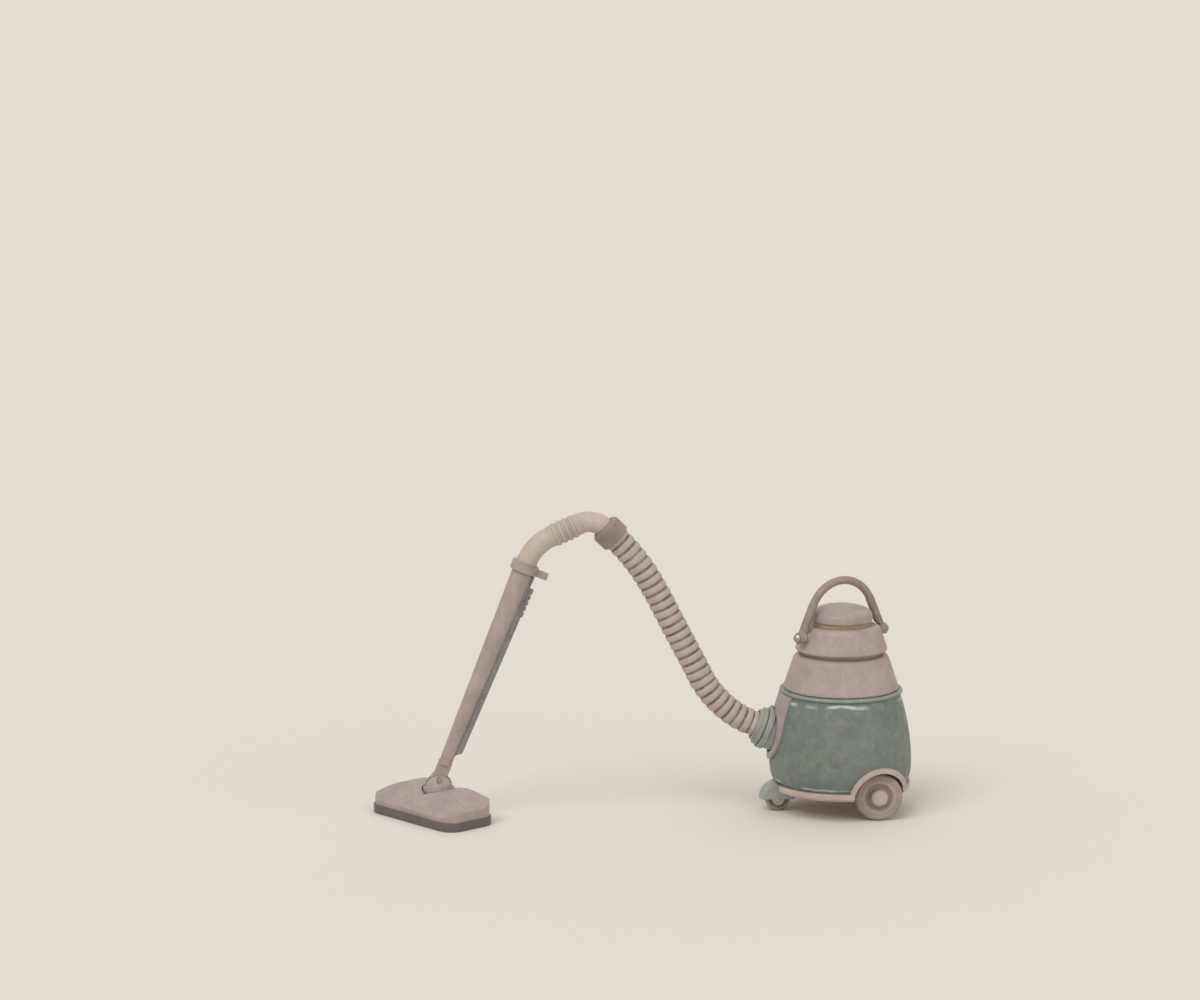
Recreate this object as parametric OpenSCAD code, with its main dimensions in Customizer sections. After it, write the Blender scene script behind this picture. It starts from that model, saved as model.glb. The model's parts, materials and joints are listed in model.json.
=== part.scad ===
// Toy canister vacuum cleaner with stepped lid, ribbed hose, wand and floor head.
// Millimetres. The canister axis is the local X zero, the floor is Z zero.

/* [Tub] */
// Largest radius of the tub
tub_r = 19.3; // [18.6:0.1:20.5]
// Radius of the lower edge as a share of the largest radius
base_share = 0.943; // [0.92:0.001:0.96]
// Radius of the rim as a share of the largest radius
rim_share = 0.824; // [0.8:0.001:0.85]
// Height of the widest part of the tub above the floor
belly_z = 13; // [12:0.5:15]
// Height of the rim above the floor
rim_z = 32.8; // [32:0.1:34]
// Wall thickness of the tub
tub_wall = 1.4; // [1.1:0.1:1.8]
// Ground clearance of the chassis
base_z = 6.2; // [5.8:0.1:6.6]
// Thickness of the floor pan
pan_t = 2; // [1.8:0.1:2.6]
// Thickness of the panel and trims laid on the tub
trim_t = 0.8; // [0.6:0.1:1.1]

/* [Lid] */
// Height of the lowest lid tier
skirt_h = 9.6; // [8.8:0.1:10.4]
// Top radius of the lowest tier as a share of its foot
skirt_share = 0.797; // [0.78:0.001:0.82]
// Height of the middle lid tier
hood_h = 6.9; // [6.4:0.1:7.6]
// Top radius of the middle tier as a share of its foot
hood_share = 0.803; // [0.78:0.001:0.82]
// Radius of the cap as a share of the middle tier's top
cap_share = 0.824; // [0.8:0.001:0.84]
// Height of the cap
cap_h = 4.4; // [4.2:0.1:5.4]
// Radius of the tiers' shoulders
shoulder_r = 2; // [1.6:0.1:2.2]
// Wall thickness of the lid tiers
lid_wall = 1.2; // [1:0.1:1.4]
// Height of the rim bead
bead_h = 0.9; // [0.7:0.1:1.2]
// Height of the seal rings
seal_h = 1; // [0.7:0.1:1.4]

/* [Carry handle] */
// Diameter of the handle bar
handle_d = 2.2; // [1.9:0.1:2.5]
// Rise of the bar's middle line above its pivots
handle_rise = 14.6; // [13.8:0.1:16]
// Lean of the handle legs toward each other
handle_lean = 24; // [20:1:26]
// Turn of the handle from the canister's length
handle_yaw = 26; // [0:1:40]
// Diameter of the handle rivets
rivet_d = 1.6; // [1.3:0.1:1.8]

/* [Rear wheels] */
// Diameter of the rear wheels
rear_wheel_d = 12.8; // [12.2:0.1:13.4]
// Width of the rear wheels
rear_wheel_w = 4.6; // [4:0.1:5]
// How far the wheels' outer faces stand inside the tub's lower edge
wheel_inset = 3; // [2.6:0.1:3.4]
// Distance of the rear axle from the back of the tub's lower edge
axle_inset = 9.6; // [9:0.1:10]
// Diameter of the rear axle
rear_axle_d = 2; // [1.6:0.1:2.4]

/* [Front caster] */
// Diameter of the caster wheel
caster_wheel_d = 6.8; // [6.4:0.1:7.2]
// Width of the caster wheel
caster_wheel_w = 3.6; // [3.2:0.1:4]
// Distance of the caster's swivel axis from the front of the tub's lower edge
caster_inset = 3.2; // [3:0.1:3.8]
// Lead of the caster wheel ahead of its swivel axis
caster_lead = 2.2; // [1.8:0.1:2.6]
// Diameter of the caster stem
stem_d = 2.6; // [2.2:0.1:2.8]

/* [Hose inlet] */
// Height of the inlet above the floor
inlet_z = 22; // [21.6:0.1:22.6]
// Upward tilt of the inlet
inlet_tilt = 22; // [20:1:24]
// Diameter of the inlet's flared mouth
collar_d = 11.6; // [11.4:0.1:12.4]
// Diameter of the swivel spigot
spigot_d = 8.6; // [8.4:0.1:8.8]
// Half width of the front panel
panel_r = 7.6; // [7.2:0.1:8.4]

/* [Hose] */
// Diameter of the hose over its ribs
hose_d = 7.2; // [6.8:0.1:7.4]
// Bore of the hose
hose_bore_d = 5; // [4.6:0.1:5.2]
// Distance from rib to rib
rib_pitch = 2.4; // [2:0.1:3]
// Depth of the grooves between the ribs
rib_depth = 0.5; // [0.3:0.05:0.6]

/* [Grip and wand] */
// Distance from the canister axis to the foot of the wand
reach = 109.4; // [106:0.2:112]
// Lean of the wand from upright
wand_lean = 22; // [18:1:26]
// Length of the wand from its pivot to the grip
wand_l = 61.4; // [58:0.2:66]
// Diameter of the wand at its foot
wand_foot_d = 3.6; // [3.4:0.1:4]
// Diameter of the wand at its top
wand_top_d = 5.8; // [5.6:0.1:6]
// Diameter of the grip
grip_d = 5.6; // [5.4:0.1:6]
// Radius of the bend from the wand into the grip
grip_bend_r = 13; // [11:0.5:15]
// Slope of the grip's straight run above level
grip_slope = 24; // [20:1:30]
// Length of the grip's straight run
grip_run = 8; // [7:0.5:10]
// Radius of the grip's end bend
grip_tip_r = 6.5; // [6:0.1:8]
// Fall of the grip's end below level
grip_drop = 44; // [42:1:46]
// Width of the strip on the wand
strip_w = 2; // [1.6:0.1:2.2]
// Length of the suction slide
button_l = 8; // [6.5:0.5:9]
// Travel of the suction slide
button_travel = 3; // [2:0.5:4]

/* [Floor head] */
// Width of the floor head
head_w = 34; // [31:0.5:34.5]
// Length of the head ahead of its turret
head_front = 10.5; // [9.5:0.1:10.8]
// Length of the head behind its turret
head_rear = 5.5; // [5.2:0.1:6]
// Corner radius of the head
head_corner_r = 4; // [3:0.1:5]
// Height of the head's turret pad
head_h = 6.6; // [6.4:0.1:7.2]
// Height of the sole
sole_h = 2.2; // [2:0.1:2.8]
// Turn of the head toward the side
head_yaw = 38; // [25:1:45]
// Diameter of the neck pin
neck_pin_d = 1.6; // [1.3:0.1:1.8]

/* [Hidden] */
$fn = 96;
arc_steps = 8;
tub_steps = 14;
quarter = 90;

// Fits
running = 0.06;
press = 0.01;
seat = 0.1;
slip = 0.3;

// Curve helpers
function arc(c, r, a0, a1, skip) =
    [for (i = [skip:arc_steps]) let (a = a0 + (a1 - a0) * i / arc_steps) c + r * [cos(a), sin(a)]];
function bulge_radius(h, s) = (h * h + s * s) / (2 * s);
function reversed(list) = [for (i = [len(list) - 1:-1:0]) list[i]];
function bow(p0, p1, s) =
    let (d = p1 - p0, c = norm(d), n = [d[1], -d[0]] / c, r = bulge_radius(c / 2, s))
    let (o = (p0 + p1) / 2 + n * (s - r), a = asin(c / 2 / r))
    [for (i = [0:arc_steps]) let (t = a * (2 * i / arc_steps - 1)) o + r * (n * cos(t) + d / c * sin(t))];
// Round of radius r in place of the corner b between a and c
function corner(a, b, c, r) =
    let (u = (a - b) / norm(a - b), v = (c - b) / norm(c - b), half = acos(u * v) / 2)
    let (o = b + (u + v) / norm(u + v) * r / sin(half))
    let (from = b + u * r / tan(half) - o, to = b + v * r / tan(half) - o)
    let (a0 = atan2(from[1], from[0]), turn = sign(from[0] * to[1] - from[1] * to[0]) * 2 * (quarter - half))
    arc(o, r, a0, a0 + turn, 0);
dome_power = 0.8;
function dome(r, z, h) =
    [for (i = [0:arc_steps]) let (t = quarter * i / arc_steps)
        [r * pow(cos(t), dome_power), z + h * pow(sin(t), dome_power)]];

// Tub outline
tub_base_r = tub_r * base_share;
tub_rim_r = tub_r * rim_share;
tub_z = base_z + pan_t;
upper_bulge = bulge_radius(rim_z - belly_z, tub_r - tub_rim_r);
lower_bulge = bulge_radius(belly_z - tub_z, tub_r - tub_base_r);
function tub_radius(z) =
    let (r = z < belly_z ? lower_bulge : upper_bulge) tub_r - r + sqrt(r * r - pow(z - belly_z, 2));
function tub_side(grow) =
    concat([for (i = [0:tub_steps]) let (z = tub_z + (belly_z - tub_z) * i / tub_steps) [tub_radius(z) + grow, z]],
           [for (i = [1:tub_steps]) let (z = belly_z + (rim_z - belly_z) * i / tub_steps) [tub_radius(z) + grow, z]]);
seat_r = tub_base_r - tub_wall - seat;
seat_h = 2;
seat_t = 1.2;
pan_chamfer = 0.6;
tub_mouth_r = tub_rim_r - tub_wall;

// Chassis
liner_t = 1.2;
well_gap = 0.8;
rear_wheel_r = rear_wheel_d / 2;
rear_axle_r = rear_axle_d / 2;
rear_axle_x = tub_base_r - axle_inset;
wheel_out_y = tub_base_r - wheel_inset;
wheel_in_y = wheel_out_y - rear_wheel_w;
well_r = rear_wheel_r + well_gap;
well_side_gap = 0.8;
well_y = wheel_in_y - well_side_gap;
axle_wall = 1.4;
axle_tube_r = rear_axle_r + axle_wall;
trim_w = 1.4;
trim_from_y = 6;
far = 30;

// Rear wheels
tyre_t = 1.6;
tyre_round = 0.9;
wheel_r = rear_wheel_r - tyre_t;
wheel_dish = 1;
wheel_rim_t = 0.9;
hub_r = rear_axle_r + axle_wall;
axle_cap_back = 0.2;
axle_cap_r = hub_r - axle_cap_back;
axle_cap_t = 1.2;
axle_end = 0.7;

// Caster
caster_x = tub_base_r - caster_inset;
caster_r = caster_wheel_d / 2;
hood_gap = 0.4;
hood_t = 0.7;
fork_side_gap = 0.25;
cheek_t = 0.9;
fork_in_r = norm([caster_r + hood_gap, caster_wheel_w / 2 + fork_side_gap]);
fork_hood_r = fork_in_r + hood_t;
fork_half_w = caster_wheel_w / 2 + fork_side_gap + cheek_t;
pocket_gap = 0.4;
pocket_r = caster_lead + fork_hood_r + pocket_gap;
pocket_z = caster_r + fork_hood_r + pocket_gap;
stem_r = stem_d / 2;
stem_wall = 1.5;
stem_boss_r = stem_r + stem_wall;
stem_boss_h = 2.6;
stem_boss_z = pocket_z + liner_t + stem_boss_h;
stem_notch = 0.3;
stem_groove_r = stem_r - stem_notch;
stem_clip_t = 0.6;
stem_clip_w = 0.8;
stem_clip_r = stem_r + stem_clip_w;
stem_tip = 0.8;
caster_pin_r = 0.8;
caster_boss_r = 1.6;
caster_dish = 0.6;
caster_rim = 0.9;

// Tie rod
rod_r = 1;
rod_head_r = 2.2;
rod_head_t = 1.2;
rod_recess = 1.4;
rod_hole_r = rod_r + slip;

// Lid stack
skirt_z = rim_z + bead_h;
skirt_back = 0.1;
skirt_base_r = tub_rim_r - skirt_back;
skirt_top_r = skirt_base_r * skirt_share;
seal1_z = skirt_z + skirt_h;
hood_z = seal1_z + seal_h;
hood_lap = 0.1;
hood_base_r = skirt_top_r + hood_lap;
hood_top_r = hood_base_r * hood_share;
seal2_z = hood_z + hood_h;
cap_z = seal2_z + seal_h;
cap_r = hood_top_r * cap_share;
foot_round_r = 0.5;
spigot_t = 1;
spigot_drop = 1.4;
skirt_ledge = 3.4;
skirt_hole_r = skirt_top_r - skirt_ledge;
cap_ledge = 2.6;
hood_hole_r = cap_r - cap_ledge;
lower_seal_in = 1.6;
upper_seal_in = 0.5;
cap_wall_h = 1.2;
cap_boss_t = 1.6;
cap_boss_r = rod_r + cap_boss_t;
rod_depth = 3;
bead_overhang = 0.5;
bead_bow = 0.3;

// Carry handle
handle_r = handle_d / 2;
rivet_r = rivet_d / 2;
pivot_up = 4.4;
leg_swell = 0.1;
leg_lap = 0.3;
pivot_z = hood_z + pivot_up;
handle_gap = 0.12;
eye_wall = 0.75;
eye_r = rivet_r + eye_wall;
ear_proud = 0.2;
function hood_radius(z) = hood_base_r - (hood_base_r - hood_top_r) * (z - hood_z) / hood_h;
ear_out = hood_radius(pivot_z - eye_r) + ear_proud;
ear_in = hood_radius(pivot_z) - lid_wall;
handle_x = ear_out + handle_gap + handle_r;
eye_trim = 2;
arch_r = (handle_x / tan(handle_lean) - handle_rise) / (1 / sin(handle_lean) - 1);
leg_l = (handle_x - arch_r * cos(handle_lean)) / sin(handle_lean);
arch_z = leg_l * cos(handle_lean) - arch_r * sin(handle_lean);
rivet_lip = 0.6;
rivet_head_r = rivet_r + rivet_lip;
rivet_head_t = 0.7;
rivet_gap = 0.15;
rivet_bury = 0.4;

// Inlet, measured outward along its axis from the tub's face
spigot_r = spigot_d / 2;
collar_r = collar_d / 2;
collar_wall = 1;
panel_step = 0.1;
collar_body_r = spigot_r + collar_wall;
collar_in = 4.9;
collar_flare = 1;
collar_lip = 1.5;
collar_out = 3;
nub_r = 0.7;
nub_l = 0.8;
nut_w = 1;
nut_r = collar_body_r + nut_w;
nut_t = 1;
nut_from = 4.8;
cuff_gap = 0.2;
cuff_flange_w = 0.9;
cuff_flange_r = spigot_r + cuff_flange_w;
cuff_flange_t = 1;
cuff_out = 5.2;
cuff_taper = 0.1;
cuff_stop = 3.6;
clip_gap = 0.15;
clip_t = 0.55;
clip_w = 0.7;
clip_r = spigot_r + clip_w;
clip_groove = 0.45;
clip_tip = 0.9;
hose_r = hose_d / 2;
hose_bore_r = hose_bore_d / 2;
hose_fit = 0.08;

// Wand, measured up along its axis from the neck pin
head_gap = 0.1;
turret_t = 1.2;
turret_r = 4.3;
turret_dome_r = 3.9;
wand_pivot_up = 2.4;
wand_z = head_h + head_gap + turret_t + wand_pivot_up;
neck_pin_r = neck_pin_d / 2;
foot_eye_wall = 1.4;
foot_eye_r = neck_pin_r + foot_eye_wall;
foot_eye_w = 2.4;
foot_tang_l = 5;
foot_round = 4.2;
foot_top = 6;
foot_plug_r = 0.95;
foot_plug_l = 7;
wand_foot_r = wand_foot_d / 2;
wand_top_r = wand_top_d / 2;
wand_wall = 0.8;
grip_plug_r = 2;
grip_plug_l = 6;
grip_r = grip_d / 2;
grip_bore_r = 1.4;
grip_straight = 2.4;
grip_step = 0.12;
grip_lap = 0.4;
grip_turn = quarter - wand_lean - grip_slope;
tip_turn = grip_slope + grip_drop;
ridge_h = 0.4;
ridge_w = 0.9;
ridge_pitch = 1.7;
ridge_start = 0.8;
ridges = 4;
plug_clear = 0.2;
plug_l = 3;
function wand_radius(s) =
    wand_foot_r + (wand_top_r - wand_foot_r) * (s - foot_top) / (wand_l - foot_top);
collar_ring_t = 0.7;
collar_ring_l = 2.4;
collar_ring_up = 0.2;
hook_l = 3.2;
hook_w = 2;
hook_t = 1.8;
sleeve_t = 0.6;
sleeve_back = 0.7;
sleeve_l = 4;

// Strip and slide
strip_from = 7.5;
strip_end = 0.6;
strip_to = wand_l - strip_end;
strip_rise = 1.4;
strip_sunk = 0.4;
rail_rise = 0.6;
key_w = 1;
key_deep = 0.6;
button_margin = 0.3;
button_rise = 1.1;
button_gap = 0.06;
button_top = strip_to - button_margin - button_travel;
button_foot = button_top - button_l;
grip_cuts = 4;

// Neck and floor head
ear_gap = 0.15;
ear_y = foot_eye_w / 2 + ear_gap;
pin_end = 0.15;
neck_pin_half = sqrt(pow(turret_dome_r, 2) - pow(wand_pivot_up, 2)) - pin_end;
turret_spigot_r = 1.85;
pad_gap = 0.4;
pad_r = turret_r + pad_gap;
lobe_rise = 1.8;
lobe_dip = lobe_rise;
lobe_steps = 24;
roof_t = 2.4;
turret_screw_r = 0.7;
turret_screw_head_r = 2.6;
turret_screw_head_t = 1;
turret_screw_l = 3.4;
screw_room = 0.7;
screw_room_r = turret_screw_head_r + screw_room;
lip_h = 1.3;
side_drop = 3.6;
rear_drop = 2.2;
head_slope = 7;
bumper = 0.4;
chamber_h = 1.2;
chamber_margin = 2.6;
slot_w = 3.2;
slot_margin = 4;
slot_from_front = 3.2;
sole_screw_x = 3;
sole_screw_y = 12;
sole_screw_r = 0.6;
sole_screw_head_r = 1.2;
sole_screw_head_t = 0.8;
sole_screw_room = 0.3;
sole_screw_bite = 2;

// Placement: the origin is under the middle of the whole part
sole_half = head_w / 2 + bumper - (head_corner_r + bumper);
sole_ahead = head_front - head_corner_r;
head_span = sole_ahead * cos(head_yaw) + sole_half * sin(head_yaw) + head_corner_r + bumper;
canister_x = (reach + head_span - tub_r) / 2;

// Frames
module placed() {
    translate([canister_x, 0, 0])
        children();
}

module at_inlet() {
    placed()
        translate([-tub_radius(inlet_z), 0, inlet_z])
            rotate([0, inlet_tilt - 90, 0])
                children();
}

module at_caster() {
    placed()
        translate([-caster_x, 0, 0])
            children();
}

module at_wand() {
    placed()
        translate([-reach, 0, wand_z])
            rotate([0, wand_lean, 0])
                children();
}

module at_bend() {
    at_wand()
        translate([0, 0, wand_l + grip_straight])
            children();
}

module at_run() {
    at_bend()
        translate([grip_bend_r, 0, 0])
            rotate([0, grip_turn, 0])
                translate([-grip_bend_r, 0, 0])
                    children();
}

module at_tip() {
    at_run()
        translate([0, 0, grip_run])
            children();
}

module at_grip_end() {
    at_tip()
        translate([grip_tip_r, 0, 0])
            rotate([0, tip_turn, 0])
                translate([-grip_tip_r, 0, 0])
                    children();
}

module at_handle() {
    placed()
        translate([0, 0, pivot_z])
            rotate([0, 0, handle_yaw])
                children();
}

module at_neck() {
    placed()
        translate([-reach, 0, 0])
            children();
}

module at_head() {
    at_neck()
        rotate([0, 0, head_yaw])
            children();
}

// A cylinder lying across the part, from one side to the other
module across(r, y0, y1) {
    translate([0, y1, 0])
        rotate([90, 0, 0])
            cylinder(r = r, h = y1 - y0);
}

// Shared shapes
module tub_skin(from, to) {
    rotate_extrude()
        polygon(concat(tub_side(to), reversed(tub_side(from))));
}

module tub_core(grow) {
    rotate_extrude()
        polygon(concat([[0, tub_z]], tub_side(grow), [[0, rim_z]]));
}

module wheel_wells(grow) {
    translate([rear_axle_x, 0, rear_wheel_r]) {
        across(well_r + grow, well_y - grow, far);
        across(well_r + grow, -far, grow - well_y);
    }
}

module caster_pocket(grow) {
    translate([-caster_x, 0, 0])
        cylinder(r = pocket_r + grow, h = pocket_z + grow);
}

module inlet_hole(r) {
    translate([-tub_radius(inlet_z), 0, inlet_z])
        rotate([0, inlet_tilt - 90, 0])
            translate([0, 0, -far / 3])
                cylinder(r = r, h = far);
}

// Canister
module chassis() {
    color("#c3bac0")
    placed()
        difference() {
            union() {
                rotate_extrude()
                    polygon([[0, base_z],
                             [tub_base_r + trim_t - pan_chamfer, base_z],
                             [tub_base_r + trim_t, base_z + pan_chamfer],
                             [tub_base_r + trim_t, tub_z],
                             [seat_r, tub_z],
                             [seat_r, tub_z + seat_h],
                             [seat_r - seat_t, tub_z + seat_h],
                             [seat_r - seat_t, tub_z],
                             [0, tub_z]]);
                intersection() {
                    tub_core(-tub_wall - seat);
                    union() {
                        wheel_wells(liner_t);
                        caster_pocket(liner_t);
                        translate([-caster_x, 0, pocket_z])
                            cylinder(r = stem_boss_r, h = liner_t + stem_boss_h);
                    }
                }
                translate([rear_axle_x, 0, rear_wheel_r])
                    across(axle_tube_r, -well_y, well_y);
            }
            wheel_wells(0);
            caster_pocket(0);
            translate([rear_axle_x, 0, rear_wheel_r])
                across(rear_axle_r + running, -far, far);
            translate([-caster_x, 0, 0])
                cylinder(r = stem_r + running, h = far);
            cylinder(r = rod_hole_r, h = far);
            cylinder(r = rod_head_r + slip, h = base_z + rod_recess);
        }
}

module tub() {
    color("#6c7d78")
    placed()
        difference() {
            tub_skin(-tub_wall, 0);
            wheel_wells(0);
            caster_pocket(0);
            inlet_hole(collar_body_r + seat);
        }
}

module front_panel() {
    color("#b2a5aa")
    placed()
        difference() {
            intersection() {
                tub_skin(0, trim_t);
                union() {
                    translate([0, 0, inlet_z])
                        rotate([0, -90, 0])
                            cylinder(r = panel_r, h = far);
                    translate([-far, panel_step - panel_r, inlet_z])
                        cube([far, 2 * (panel_r - panel_step), far]);
                }
            }
            inlet_hole(collar_r + seat);
        }
}

module arch_trim(side) {
    color("#c3bac0")
    placed()
        intersection() {
            tub_skin(0, trim_t);
            translate([rear_axle_x, 0, rear_wheel_r])
                difference() {
                    across(well_r + trim_w, side > 0 ? trim_from_y : -far, side > 0 ? far : -trim_from_y);
                    across(well_r, -far, far);
                }
        }
}

module left_arch_trim() {
    arch_trim(-1);
}

module right_arch_trim() {
    arch_trim(1);
}

module inlet_collar() {
    color("#93a0a2")
    at_inlet()
        difference() {
            union() {
                rotate_extrude()
                    polygon([[0, -collar_in],
                             [collar_body_r, -collar_in],
                             [collar_body_r, collar_flare],
                             [collar_r, collar_lip],
                             [collar_r, collar_out],
                             [0, collar_out]]);
                translate([collar_r, 0, collar_out - nub_l])
                    cylinder(r = nub_r, h = nub_l);
            }
            translate([0, 0, -collar_in])
                cylinder(r = spigot_r + running, h = far);
        }
}

module inlet_nut() {
    color("#93a0a2")
    at_inlet()
        translate([0, 0, -nut_from])
            difference() {
                cylinder(r = nut_r, h = nut_t);
                cylinder(r = collar_body_r + press, h = far, center = true);
            }
}

module rim_bead() {
    color("#a9b4b8")
    placed()
        rotate_extrude()
            polygon(concat([[tub_mouth_r, rim_z]],
                           bow([tub_rim_r + bead_overhang, rim_z], [tub_rim_r + bead_overhang, skirt_z], bead_bow),
                           [[tub_mouth_r, skirt_z]]));
}

// Lid
module lid_tier(base_r, top_r, z, h, spigot, drop, hole) {
    foot = [base_r, z];
    top = [top_r, z + h];
    rim = [hole, z + h];
    step = [spigot, z];
    wall = [lid_wall, -lid_wall];
    rotate_extrude()
        polygon(concat([[spigot - spigot_t, z - drop], [spigot, z - drop], step],
                       corner(step, foot, top, foot_round_r),
                       corner(foot, top, rim, shoulder_r),
                       [rim, [hole, z + h - lid_wall]],
                       reversed(corner(foot - wall, [top_r - lid_wall, z + h - lid_wall], rim, shoulder_r - lid_wall)),
                       [[base_r - lid_wall, z + lid_wall], [spigot - spigot_t, z + lid_wall]]));
}

module lid_skirt() {
    color("#b2a5aa")
    placed()
        lid_tier(skirt_base_r, skirt_top_r, skirt_z, skirt_h,
                 tub_mouth_r - seat, bead_h + spigot_drop, skirt_hole_r);
}

module lower_seal() {
    color("#7b7a5e")
    placed()
        translate([0, 0, seal1_z])
            difference() {
                cylinder(r = skirt_top_r - lower_seal_in, h = seal_h);
                cylinder(r = skirt_hole_r, h = far, center = true);
            }
}

module lid_hood() {
    color("#b2a5aa")
    difference() {
        union() {
            placed()
                lid_tier(hood_base_r, hood_top_r, hood_z, hood_h,
                         skirt_hole_r - seat, seal_h + spigot_drop, hood_hole_r);
            at_handle()
                for (side = [0, 180])
                    rotate([0, quarter, side])
                        translate([0, 0, ear_in])
                            cylinder(r = eye_r, h = ear_out - ear_in);
        }
        at_handle()
            rotate([0, quarter, 0])
                cylinder(r = rivet_r + press, h = 2 * far, center = true);
    }
}

module upper_seal() {
    color("#7b7a5e")
    placed()
        translate([0, 0, seal2_z])
            difference() {
                cylinder(r = cap_r - upper_seal_in, h = seal_h);
                cylinder(r = hood_hole_r, h = far, center = true);
            }
}

module lid_cap() {
    color("#b2a5aa")
    placed()
        difference() {
            union() {
                rotate_extrude()
                    polygon(concat([[hood_hole_r - seat - spigot_t, cap_z - seal_h - spigot_drop],
                                    [hood_hole_r - seat, cap_z - seal_h - spigot_drop],
                                    [hood_hole_r - seat, cap_z]],
                                   corner([0, cap_z], [cap_r, cap_z], [cap_r, cap_z + cap_wall_h], foot_round_r),
                                   dome(cap_r, cap_z + cap_wall_h, cap_h - cap_wall_h),
                                   reversed(dome(cap_r - lid_wall, cap_z + cap_wall_h, cap_h - cap_wall_h - lid_wall)),
                                   [[cap_r - lid_wall, cap_z + lid_wall],
                                    [hood_hole_r - seat - spigot_t, cap_z + lid_wall]]));
                translate([0, 0, cap_z])
                    cylinder(r = cap_boss_r, h = cap_h - lid_wall / 2);
            }
            translate([0, 0, cap_z])
                cylinder(r = rod_r + press, h = rod_depth);
        }
}

module tie_rod() {
    color("#9a9a98")
    placed() {
        translate([0, 0, base_z + rod_recess - rod_head_t])
            cylinder(r = rod_head_r, h = rod_head_t);
        translate([0, 0, base_z + rod_recess])
            cylinder(r = rod_r, h = cap_z + rod_depth - slip - base_z - rod_recess);
    }
}

module handle_rivets() {
    color("#9a9a98")
    at_handle()
        for (side = [0, 180])
            rotate([0, quarter, side]) {
                translate([0, 0, ear_in - rivet_bury])
                    cylinder(r = rivet_r, h = handle_x + handle_r + rivet_gap - ear_in + rivet_bury);
                translate([0, 0, handle_x + handle_r + rivet_gap])
                    cylinder(r1 = rivet_head_r, r2 = rivet_r, h = rivet_head_t);
            }
}

module carry_handle() {
    color("#96897f")
    at_handle()
        difference() {
            union() {
                for (side = [-1, 1])
                    translate([side * handle_x, 0, 0])
                        rotate([0, -side * handle_lean, 0])
                            cylinder(r = handle_r + leg_swell, h = leg_l + leg_lap);
                for (side = [0, 180])
                    rotate([0, quarter, side])
                        translate([0, 0, handle_x - handle_r - leg_lap])
                            cylinder(r = eye_r, h = handle_d + leg_lap);
                translate([0, 0, arch_z])
                    rotate([quarter, 0, 0])
                        rotate([0, 0, handle_lean])
                            rotate_extrude(angle = 180 - 2 * handle_lean)
                                translate([arch_r, 0])
                                    circle(r = handle_r);
            }
            rotate([0, quarter, 0])
                cylinder(r = rivet_r + running, h = 2 * far, center = true);
            rotate([0, quarter, 0])
                cylinder(r = eye_trim, h = 2 * (handle_x - handle_r), center = true);
        }
}

// Rear wheels
module rear_axle() {
    color("#9a9a98")
    placed()
        translate([rear_axle_x, 0, rear_wheel_r])
            across(rear_axle_r, -wheel_out_y - axle_end, wheel_out_y + axle_end);
}

module at_rear_wheel(side) {
    placed()
        translate([rear_axle_x, 0, rear_wheel_r])
            rotate([side > 0 ? -90 : 90, 0, 0])
                children();
}

module rear_wheel(side) {
    color("#a99ba0")
    at_rear_wheel(side)
        rotate_extrude()
            polygon([[rear_axle_r + press, wheel_in_y],
                     [wheel_r, wheel_in_y],
                     [wheel_r, wheel_out_y],
                     [wheel_r - wheel_rim_t, wheel_out_y],
                     [wheel_r - 2 * wheel_rim_t, wheel_out_y - wheel_dish],
                     [hub_r, wheel_out_y - wheel_dish],
                     [hub_r, wheel_out_y],
                     [rear_axle_r + press, wheel_out_y]]);
}

module rear_tyre(side) {
    color("#8c8083")
    at_rear_wheel(side)
        rotate_extrude()
            polygon(concat([[wheel_r, wheel_in_y]],
                           arc([rear_wheel_r - tyre_round, wheel_in_y + tyre_round], tyre_round, -90, 0, 0),
                           arc([rear_wheel_r - tyre_round, wheel_out_y - tyre_round], tyre_round, 0, 90, 0),
                           [[wheel_r, wheel_out_y]]));
}

module rear_wheel_left() {
    rear_wheel(-1);
}

module rear_wheel_right() {
    rear_wheel(1);
}

module rear_tyre_left() {
    rear_tyre(-1);
}

module rear_tyre_right() {
    rear_tyre(1);
}

module axle_caps() {
    color("#c3bac0")
    for (side = [-1, 1])
        at_rear_wheel(side)
            difference() {
                translate([0, 0, wheel_out_y])
                    rotate_extrude()
                        polygon(concat([[0, 0], [axle_cap_r, 0]],
                                       arc([axle_cap_r - axle_cap_t / 2, axle_cap_t / 2], axle_cap_t / 2, 0, quarter, 0),
                                       [[0, axle_cap_t]]));
                cylinder(r = rear_axle_r + press, h = wheel_out_y + axle_end);
            }
}

// Front caster
module caster_fork() {
    color("#93a0a2")
    at_caster()
        difference() {
            union() {
                translate([-caster_lead, 0, caster_r]) {
                    difference() {
                        intersection() {
                            sphere(r = fork_hood_r);
                            across(far, -fork_half_w, fork_half_w);
                        }
                        intersection() {
                            sphere(r = fork_in_r);
                            across(far, cheek_t - fork_half_w, fork_half_w - cheek_t);
                        }
                        translate([-far, -far, -far])
                            cube([2 * far, 2 * far, far]);
                    }
                    across(caster_boss_r, -fork_half_w, cheek_t - fork_half_w);
                    across(caster_boss_r, fork_half_w - cheek_t, fork_half_w);
                }
                translate([0, 0, caster_r + fork_hood_r - hood_t])
                    cylinder(r = stem_boss_r, h = hood_t);
                translate([0, 0, caster_r + fork_hood_r - hood_t])
                    cylinder(r = stem_r, h = stem_boss_z + clip_gap + stem_clip_t + stem_tip
                                             - caster_r - fork_hood_r + hood_t);
            }
            translate([-caster_lead, 0, caster_r])
                across(caster_pin_r + press, -far, far);
            translate([0, 0, stem_boss_z + clip_gap])
                difference() {
                    cylinder(r = stem_boss_r, h = stem_clip_t);
                    cylinder(r = stem_groove_r, h = far, center = true);
                }
        }
}

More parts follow.
